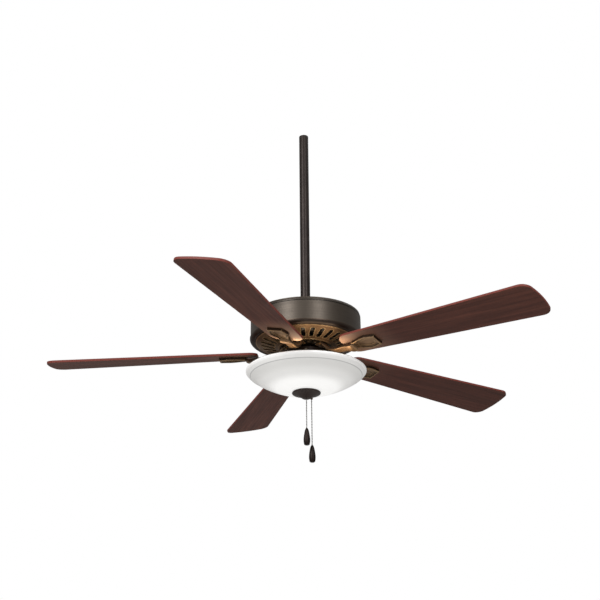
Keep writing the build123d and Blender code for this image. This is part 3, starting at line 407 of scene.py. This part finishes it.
def blade_place(paint, number):
    """Object coordinates along, across and through one blade, from its middle at the hub."""
    place = paint.node("ShaderNodeCombineXYZ")
    for axis, socket in zip(blade_axes(number), place.inputs):
        paint.feed(paint.math("SUBTRACT", paint.dot(paint.place, axis), HUB.dot(axis)), socket)
    return place.outputs[0]


def along_axis(paint, axis):
    """How far a face looks along an axis, from -1 to 1."""
    return paint.dot(paint.node("ShaderNodeTexCoord").outputs["Normal"], axis)


def facing(paint, axis):
    """How squarely a face looks along an axis either way, from 0 to 1."""
    return paint.math("ABSOLUTE", along_axis(paint, axis))


# ------------------------------------------------------------------ painted and cast metal
SEAM_HEIGHT = HUB.z + 0.0915  # the drum's seam, under its cap
LUG_TOP = HUB.z + 0.0170  # where the rotor's lugs end and its alloy begins
CAST_DARK, CAST_LIGHT = (0.23, 0.124, 0.060), (0.44, 0.262, 0.135)
IRON_LIGHTING = (1.0, 0.55, 0.80, 0.75, 1.0)  # painted light and shade: how bright each iron's bronze is painted, by the light that reaches it
PLATE_START, PLATE_FULL = 0.160, 0.172  # where the plate's panel begins, along the blade
# each shaded step of an iron's panel: height from the blade's middle, and how dark it is
PANEL_SHADES = ((-0.01155, 0.15), (-0.00975, 0.80), (-0.00715, 0.30))
VENT_DEPTH = 0.60  # how bright the vent cover's bronze is
VENT_CONE_R = 0.1200  # radius of the slotted cone
VENT_RIDGE_R = 0.1270
VENT_RIM_R = 0.1300  # where the rolled rim begins


def dark_bronze(name, dark, light, sheen, seam=None):
    """Oil-rubbed bronze paint, brushed round the axis; above a seam, the cap is darkened with painted shade."""
    paint = Paint(name)
    brushed = paint.noise(1.0, 6.0, 0.7, source=paint.stretch((4, 4, 700)))
    cloud = paint.noise(9.0, 5.0, 0.6)
    speck = paint.noise(900.0, 2.0, 0.5)
    base = paint.mottle(cloud, dark, light)
    base = paint.over(base, scaled(dark, 0.72), paint.span(brushed, 0.35, 0.75), 0.5)
    # lighter edges: partly rubbed wear of the bronze and partly painted highlight
    base = paint.over(base, (0.20, 0.14, 0.085), paint.edges(0.0012), 0.35)
    if seam is not None:
        height = radius_and_height(paint)[1]
        # painted shade on the cap above the seam, and a dark line along the seam itself
        base = paint.over(base, scaled(dark, 0.35), paint.span(height, seam, seam + 0.002), 0.45)
        base = paint.over(base, scaled(dark, 0.30), paint.near(height, seam, 0.0018, 0.0006))
    rough = paint.span(brushed, 0.2, 0.8, 0.36, 0.52)
    paint.set(Base_Color=base, Metallic=0.7, Roughness=rough)
    paint.set(Coat_Weight=sheen, Coat_Roughness=0.35)
    paint.bump(paint.math("MULTIPLY_ADD", speck, 0.6, brushed), 0.00004, 0.6)
    return paint.material


def deep_bronze(name, depth):
    """Nearly black bronze, scaled by a depth, for the finial, pendants and neck."""
    paint = Paint(name)
    cloud = paint.noise(60.0, 5.0, 0.6)
    speck = paint.noise(1400.0, 2.0, 0.5)
    dark, light = (0.022, 0.0135, 0.0110), (0.040, 0.0260, 0.0210)
    base = paint.mottle(cloud, scaled(dark, depth), scaled(light, depth))
    # lighter edges: partly rubbed wear of the bronze and partly painted highlight
    base = paint.over(base, scaled((0.12, 0.075, 0.045), depth), paint.edges(0.0015), 0.35)
    rough = paint.span(cloud, 0.2, 0.8, 0.34, 0.48)
    paint.set(Base_Color=base, Metallic=0.5, Roughness=rough)
    paint.set(Coat_Weight=0.10 * depth, Coat_Roughness=0.3, Specular_IOR_Level=0.30 * depth)
    paint.bump(speck, 0.00003, 0.5)
    return paint.material


def cast_colour(paint, depth):
    """Mottled golden bronze, scaled by a depth, and the two noises that make it."""
    cloud = paint.noise(28.0, 6.0, 0.65)
    fine = paint.noise(420.0, 3.0, 0.6)
    base = paint.mottle(cloud, scaled(CAST_DARK, depth), scaled(CAST_LIGHT, depth))
    base = paint.over(base, (0.11, 0.056, 0.028), paint.span(fine, 0.55, 0.8), 0.45)
    return base, cloud, fine


def finish_cast(paint, base, cloud, fine, wear_and_highlight=0.85):
    """Lighter edges, partly rubbed wear and partly painted highlight; painted shade in the hollows; and the shader
    settings of the cast bronze.
    """
    # lighter edges: partly rubbed wear of the bronze and partly painted highlight
    base = paint.over(base, (0.80, 0.55, 0.29), paint.edges(0.0014), wear_and_highlight)
    # painted shade deep in the hollows
    base = paint.over(base, (0.016, 0.010, 0.007), paint.hollow(0.008), 0.9)
    rough = paint.span(cloud, 0.2, 0.8, 0.32, 0.50)
    paint.set(Base_Color=base, Metallic=0.75, Roughness=rough)
    paint.bump(paint.math("ADD", cloud, fine), 0.00012, 0.5)


def iron_bronze(number):
    """A blade iron's bronze: a golden stepped panel underneath with painted shade along its steps, and painted
    shade on its upright walls.
    """
    paint = Paint("iron_bronze_" + str(number + 1))
    # each iron's bronze is darkened or lightened as painted light and shade
    base, cloud, fine = cast_colour(paint, IRON_LIGHTING[number])
    outward, _, through = paint.split(blade_place(paint, number))
    plate = paint.span(outward, PLATE_START, PLATE_FULL)
    # painted shade along each step of the panel
    for level, depth in PANEL_SHADES:
        step = paint.math("MULTIPLY", paint.near(through, level, 0.0006, 0.0004), plate)
        base = paint.over(base, (0.060, 0.036, 0.022), step, depth)
    # painted shade on the upright walls, which don't face the light
    walls = paint.span(facing(paint, blade_axes(number)[2]), 0.80, 0.45)
    base = paint.over(base, (0.026, 0.016, 0.011), walls, 0.90)
    finish_cast(paint, base, cloud, fine)
    return paint.material


def vent_bronze():
    """The vent cover's bronze: golden on the slotted cone, dark on its rolled rim."""
    paint = Paint("vent_bronze")
    radius = radius_and_height(paint)[0]
    base, cloud, fine = cast_colour(paint, VENT_DEPTH)
    rim = paint.span(radius, VENT_RIM_R - 0.0013, VENT_RIM_R)
    base = paint.over(base, (0.045, 0.031, 0.023), rim)
    # painted shade darkens the slots' walls, and a painted highlight brightens the ridge outside them
    walls = paint.span(facing(paint, (0, 0, 1)), 0.75, 0.40)
    cone = paint.span(radius, VENT_CONE_R + 0.0030, VENT_CONE_R)
    base = paint.over(base, (0.010, 0.007, 0.005), walls, cone)
    ridge = paint.near(radius, VENT_RIDGE_R, 0.0012, 0.0005)
    base = paint.over(base, (0.55, 0.36, 0.19), ridge, 0.6)
    finish_cast(paint, base, cloud, fine, paint.math("MULTIPLY_ADD", rim, -0.75, 0.85))
    return paint.material


def lug_bronze():
    """The rotor's dark alloy, with golden bronze on the lugs under it."""
    paint = Paint("lug_bronze")
    height = radius_and_height(paint)[1]
    base, cloud, fine = cast_colour(paint, 0.9)
    alloy = paint.mix(cloud, (0.030, 0.026, 0.023), (0.060, 0.054, 0.048))
    base = paint.mix(paint.span(height, LUG_TOP - 0.0004, LUG_TOP), base, alloy)
    finish_cast(paint, base, cloud, fine, 0.5)
    return paint.material


# ------------------------------------------------------------------ wood and glass
NEAREST_BLADE = 4  # points towards the camera
LAMP_REFLECTIONS = (0.38, 0.08, 0.08, 0.20, 1.0)  # how strong each blade's painted reflection of the lamp is
REFLECTION_END, REFLECTION_FULL = 0.290, 0.122  # along the blade
WALNUT = [
    (0.30, (0.058, 0.0165, 0.0095)),
    (0.50, (0.094, 0.0270, 0.0160)),
    (0.70, (0.138, 0.0440, 0.0260)),
]
GLOW_R = 0.16  # the glow's colours run from the bowl's middle to here
GLOW = [(0.0, 1.0), (0.48, 0.98), (0.70, 0.52), (0.86, 0.32), (1.0, 0.30)]
GLASS_STEP_R = 0.1424  # the step ring
GLASS_FLARE_R = 0.1425  # where the lip begins
GLASS_CREST_R = 0.1500  # the lip's crest


def blade_wood(number):
    """Dark walnut with its grain along one blade, reddish arrises, and a painted reflection of the lamp near the
    hub.
    """
    paint = Paint("blade_wood_" + str(number + 1))
    lengthwise = blade_place(paint, number)
    shift = (3.1 * number, 1.7 * number, 0.4 * number)

    def along(scale, detail, rough, distortion=0.0):
        place = paint.stretch(scale, shift, lengthwise)
        return paint.noise(1.0, detail, rough, distortion, place)

    wander = along((2.2, 6.6, 2.2), 3.0, 0.5)
    broad = along((3.0, 42, 42), 5.0, 0.55, 0.4)
    streak = along((7.0, 190, 190), 6.0, 0.6, 0.2)
    pores = along((45.0, 1300, 1300), 3.0, 0.6)
    shade = paint.math("MULTIPLY_ADD", wander, 0.35, paint.math("MULTIPLY", broad, 0.65))
    base = paint.ramp(shade, WALNUT)
    base = paint.over(base, (0.040, 0.0130, 0.0090), paint.span(streak, 0.42, 0.66), 0.55)
    base = paint.over(base, (0.015, 0.0075, 0.0062), paint.span(pores, 0.56, 0.70), 0.5)
    # a painted reflection of the lamp's warm light near the hub, underneath only
    normal = blade_axes(number)[2]
    under = paint.span(along_axis(paint, normal), 0.2, -0.2)
    outward, across, _ = paint.split(lengthwise)
    lamp_reflection = paint.math("POWER", paint.span(outward, REFLECTION_END, REFLECTION_FULL), 1.7)
    if number == NEAREST_BLADE:
        lamp_reflection = paint.math("MULTIPLY", lamp_reflection, paint.span(across, -0.040, 0.010, 0.40, 1.0))
    lamp_reflection = paint.math("MULTIPLY", lamp_reflection, under)
    base = paint.over(base, (0.95, 0.61, 0.41), lamp_reflection, LAMP_REFLECTIONS[number])
    # the sides show the reddish stain
    side = paint.span(facing(paint, normal), 0.92, 0.55)
    base = paint.over(base, (0.165, 0.040, 0.030), side)
    paint.set(Base_Color=base, Roughness=paint.span(streak, 0.2, 0.8, 0.42, 0.56))
    paint.set(Coat_Weight=0.02, Coat_Roughness=0.3, Specular_IOR_Level=0.15)
    height = paint.math("MULTIPLY_ADD", streak, -0.7, paint.math("MULTIPLY", pores, -1.0))
    paint.bump(height, 0.00010, 0.5)
    return paint.material


def lit_glass():
    """White frosted glass, glowing most at the bottom of the bowl."""
    paint = Paint("lit_glass")
    radius = radius_and_height(paint)[0]
    frost = paint.noise(700.0, 3.0, 0.6)
    cloud = paint.noise(14.0, 3.0, 0.5)
    wobble = paint.math("MULTIPLY_ADD", cloud, 0.010, radius)
    glow = paint.ramp(paint.span(wobble, 0.0, GLOW_R), GLOW, "EASE")
    base = paint.mix(cloud, (0.68, 0.675, 0.65), (0.74, 0.735, 0.71))
    # painted highlight: lighter where the lip flares, brightest on its crest
    flare = paint.span(radius, GLASS_FLARE_R, GLASS_FLARE_R + 0.0010)
    base = paint.over(base, (0.78, 0.775, 0.755), flare)
    crest = paint.span(radius, GLASS_CREST_R, GLASS_CREST_R + 0.0015)
    base = paint.over(base, (0.92, 0.915, 0.90), crest)
    # painted shade along the step ring
    base = paint.over(base, (0.42, 0.42, 0.41), paint.near(radius, GLASS_STEP_R, 0.0016, 0.0006))
    paint.set(Base_Color=base, Roughness=paint.span(frost, 0.3, 0.7, 0.28, 0.40))
    paint.set(Specular_IOR_Level=0.4, Emission_Color=glow, Emission_Strength=0.55)
    paint.bump(frost, 0.00003, 0.4)
    return paint.material


def bulb_glass():
    """Frosted bulb glass, lit a little unevenly."""
    paint = Paint("bulb_glass")
    cloud = paint.noise(30.0, 2.0, 0.5)
    frost = paint.noise(900.0, 3.0, 0.6)
    base = paint.mix(cloud, (0.86, 0.84, 0.80), (0.92, 0.90, 0.87))
    paint.set(Base_Color=base, Roughness=paint.span(frost, 0.3, 0.7, 0.30, 0.42))
    glow = paint.mix(cloud, (1.0, 0.86, 0.66), (1.0, 0.93, 0.80))
    paint.set(Emission_Color=glow, Emission_Strength=2.0)
    paint.bump(frost, 0.00003, 0.4)
    return paint.material


# ------------------------------------------------------------------ plated, moulded and motor parts
def plated(name, dark, light, low_rough, high_rough, metallic=1.0):
    """A plated or bare metal with fine scratches and a little mottling."""
    paint = Paint(name)
    cloud = paint.noise(70.0, 5.0, 0.6)
    scratch = paint.noise(1.0, 4.0, 0.7, source=paint.stretch((60, 60, 1500)))
    rough = paint.span(scratch, 0.2, 0.8, low_rough, high_rough)
    paint.set(Base_Color=paint.mottle(cloud, dark, light), Metallic=metallic, Roughness=rough)
    paint.bump(scratch, 0.00002, 0.5)
    return paint.material


def moulded(name, dark, light, rough, grain=900.0, coat=0.0):
    """A moulded plastic, rubber or glazed part with a fine surface grain."""
    paint = Paint(name)
    cloud = paint.noise(40.0, 4.0, 0.6)
    fine = paint.noise(grain, 3.0, 0.6)
    wear = paint.span(fine, 0.3, 0.7, rough * 0.85, rough * 1.15)
    paint.set(Base_Color=paint.mottle(cloud, dark, light), Roughness=wear)
    paint.set(Coat_Weight=coat, Coat_Roughness=0.1)
    paint.bump(fine, 0.00004, 0.5)
    return paint.material


def wound_copper():
    """Enamelled copper wire, wound round the axis."""
    paint = Paint("wound_copper")
    turns = paint.node("ShaderNodeTexWave", wave_type="RINGS", rings_direction="Z")
    paint.feed(paint.place, turns.inputs["Vector"])
    turns.inputs["Scale"].default_value = 160.0
    turns.inputs["Distortion"].default_value = 1.5
    base = paint.mix(turns.outputs["Fac"], (0.30, 0.09, 0.035), (0.72, 0.30, 0.13))
    rough = paint.span(paint.noise(80.0, 4.0, 0.6), 0.2, 0.8, 0.26, 0.40)
    paint.set(Base_Color=base, Metallic=0.85, Roughness=rough)
    paint.bump(turns.outputs["Fac"], 0.0003, 0.8)
    return paint.material


def laminated_steel():
    """Stacked steel sheets, showing as fine lines on the sides."""
    paint = Paint("laminated_steel")
    lines = paint.noise(1.0, 2.0, 0.5, source=paint.stretch((2, 2, 2400)))
    cloud = paint.noise(35.0, 5.0, 0.6)
    base = paint.mix(lines, (0.12, 0.12, 0.13), (0.36, 0.36, 0.37))
    base = paint.over(base, (0.14, 0.10, 0.07), paint.span(cloud, 0.55, 0.75), 0.5)
    rough = paint.span(cloud, 0.2, 0.8, 0.35, 0.55)
    paint.set(Base_Color=base, Metallic=0.85, Roughness=rough)
    paint.bump(lines, 0.00015, 0.7)
    return paint.material


# ------------------------------------------------------------------ the fan's materials
DARK = dark_bronze("dark_bronze", (0.058, 0.047, 0.037), (0.086, 0.071, 0.056), 0.10)
DRUM = dark_bronze("drum_bronze", (0.056, 0.044, 0.034), (0.083, 0.067, 0.052), 0.10, SEAM_HEIGHT)
ROD = dark_bronze("rod_bronze", (0.018, 0.0125, 0.0108), (0.031, 0.0225, 0.0190), 0.05)
DEEP = deep_bronze("deep_bronze", 1.0)
PENDANT = deep_bronze("pendant_bronze", 0.5)
# the neck's bronze is a darker copy, as painted shade
SHADED_BRONZE = deep_bronze("shaded_bronze", 0.3)
LUGS = lug_bronze()
VENT = vent_bronze()
IRONS = [iron_bronze(number) for number in range(BLADE_COUNT)]
WOODS = [blade_wood(number) for number in range(BLADE_COUNT)]
GLASS = lit_glass()
BULB = bulb_glass()
NICKEL = plated("nickel", (0.15, 0.145, 0.135), (0.27, 0.26, 0.245), 0.25, 0.40)
ZINC = plated("zinc", (0.48, 0.48, 0.50), (0.66, 0.66, 0.67), 0.28, 0.45)
SCREW = plated("screw_bronze", (0.16, 0.11, 0.07), (0.34, 0.24, 0.15), 0.20, 0.34, 0.9)
ALLOY = plated("dark_alloy", (0.035, 0.032, 0.030), (0.075, 0.070, 0.064), 0.38, 0.55, 0.8)
COPPER = wound_copper()
LAMINATED = laminated_steel()
BLACK = moulded("black_plastic", (0.018, 0.018, 0.019), (0.032, 0.032, 0.034), 0.45)
PORCELAIN = moulded("porcelain", (0.72, 0.71, 0.68), (0.82, 0.81, 0.78), 0.25, 300.0, 0.5)
WIRE = moulded("wire", (0.020, 0.020, 0.022), (0.045, 0.045, 0.048), 0.40)
RUBBER = moulded("gasket", (0.020, 0.020, 0.020), (0.035, 0.034, 0.033), 0.65)

# the material of each slot in the record
FINISHES = {
    "dark_bronze": DARK,
    "frosted_glass": GLASS,
    "bulb_glass": BULB,
    "zinc_steel": ZINC,
    "bronze_screw": SCREW,
    "motor_steel": LAMINATED,
    "copper": COPPER,
    "rotor_alloy": ALLOY,
    "nickel_chain": NICKEL,
    "black_plastic": BLACK,
    "lamp_porcelain": PORCELAIN,
    "wire_plastic": WIRE,
    "gasket_rubber": RUBBER,
}
# nodes whose material differs from the rest of their slot
OWN_FINISH = {
    "downrod": ROD,
    "vent_cover": VENT,
    "finial": DEEP,
    "chain_bushing": SCREW,
    "fan_pendant": PENDANT,
    "light_pendant": PENDANT,
    "neck_collar": SHADED_BRONZE,
    "switch_housing": SHADED_BRONZE,
    "motor_housing": DRUM,
    "rotor_lower_shell": LUGS,
}
for number in range(BLADE_COUNT):
    OWN_FINISH["blade_" + str(number + 1)] = WOODS[number]
    OWN_FINISH["blade_iron_" + str(number + 1)] = IRONS[number]


for part in frame["record"]["subparts"]:
    name = part["node"]
    slots = NODES[name].data.materials
    slots.clear()
    slots.append(OWN_FINISH.get(name) or FINISHES[part["material_slot"]])
for chain in CHAINS:
    chain.data.materials.append(NICKEL)


# ------------------------------------------------------------------ lights, world and floor
# name, azimuth in degrees from straight in front, width and power
SOFT_BOXES = (("left_box", -37, 0.75, 50), ("right_box", 26, 0.45, 30))
SOFT_BOX_DISTANCE = 2.4
SOFT_BOX_RISE = 0.9
SOFT_BOX_HEIGHT = 1.8
FILL_SIZE = 2.4
FILL_POWER = 35
# name and azimuth in degrees of the lights that stand for the bowl's open top
SPILLS = (("spill_left", -112), ("spill_front", -80), ("spill_right", -48))
SPILL_R = 0.115
SPILL_DROP = 0.036  # below the hub
SPILL_SIZE = (0.06, 0.05)
SPILL_POWER = 0.04
SPILL_COLOUR = (1.0, 0.84, 0.64)
SKY_COLOUR = (1.0, 0.975, 0.95, 1)
SKY_STRENGTH = 0.30
FLOOR_DROP = 1.35  # below the lowest pendant
FLOOR_HALF = 4.0


def around(azimuth, radius, height):
    """A place round the fan's axis, from an azimuth in degrees."""
    angle = math.radians(azimuth)
    return Vector((math.cos(angle) * radius, math.sin(angle) * radius, height))


def add_light(name, place, target, size, power, colour=(1, 1, 1)):
    """A soft rectangular light that the camera doesn't see."""
    data = bpy.data.lights.new(name, "AREA")
    data.shape = "RECTANGLE"
    data.size, data.size_y = size
    data.energy = power
    data.color = colour
    lamp = bpy.data.objects.new(name, data)
    lamp.location = place
    lamp.rotation_mode = "QUATERNION"
    lamp.rotation_quaternion = (Vector(target) - Vector(place)).to_track_quat("-Z", "Y")
    lamp.visible_camera = False
    bpy.context.scene.collection.objects.link(lamp)


def make_lights():
    """Two tall soft boxes in front, a fill from above, and the bowl's spill on the hub."""
    centre = HUB + Vector((0, 0, 0.05))
    for name, azimuth, width, power in SOFT_BOXES:
        place = centre + around(azimuth - 90, SOFT_BOX_DISTANCE, SOFT_BOX_RISE)
        add_light(name, place, centre, (width, SOFT_BOX_HEIGHT), power)
    above = centre + Vector((0.4, 0.6, 2.4))
    add_light("top_fill", above, centre, (FILL_SIZE, FILL_SIZE), FILL_POWER)
    for name, azimuth in SPILLS:
        place = HUB + around(azimuth, SPILL_R, -SPILL_DROP)
        target = place + Vector((0, 0.02, 0.1))
        add_light(name, place, target, SPILL_SIZE, SPILL_POWER, SPILL_COLOUR)


def make_world():
    """White to the camera, and a dimmer, slightly warm grey for the light that it casts."""
    world = bpy.data.worlds.new("studio")
    bpy.context.scene.world = world
    world.use_nodes = True
    tree = world.node_tree
    tree.nodes.clear()
    seen = tree.nodes.new("ShaderNodeBackground")
    seen.inputs["Color"].default_value = (1, 1, 1, 1)
    cast = tree.nodes.new("ShaderNodeBackground")
    cast.inputs["Color"].default_value = SKY_COLOUR
    cast.inputs["Strength"].default_value = SKY_STRENGTH
    path = tree.nodes.new("ShaderNodeLightPath")
    mix = tree.nodes.new("ShaderNodeMixShader")
    out = tree.nodes.new("ShaderNodeOutputWorld")
    tree.links.new(path.outputs["Is Camera Ray"], mix.inputs[0])
    tree.links.new(cast.outputs[0], mix.inputs[1])
    tree.links.new(seen.outputs[0], mix.inputs[2])
    tree.links.new(mix.outputs[0], out.inputs[0])


def make_floor():
    """A plain pale floor well below the fan."""
    level = CAD_BOX[0].z - FLOOR_DROP
    corners = [(-1, -1), (1, -1), (1, 1), (-1, 1)]
    verts = [(x * FLOOR_HALF, y * FLOOR_HALF, level) for x, y in corners]
    floor = add_piece("floor", verts, [(0, 1, 2, 3)], smooth=False)
    paint = Paint("pale_floor")
    cloud = paint.noise(1.2, 3.0, 0.5)
    paint.set(Base_Color=paint.mix(cloud, (0.80, 0.80, 0.80), (0.86, 0.86, 0.86)), Roughness=0.7)
    floor.data.materials.append(paint.material)


make_lights()
make_world()
make_floor()
bpy.context.scene.view_settings.view_transform = "Standard"
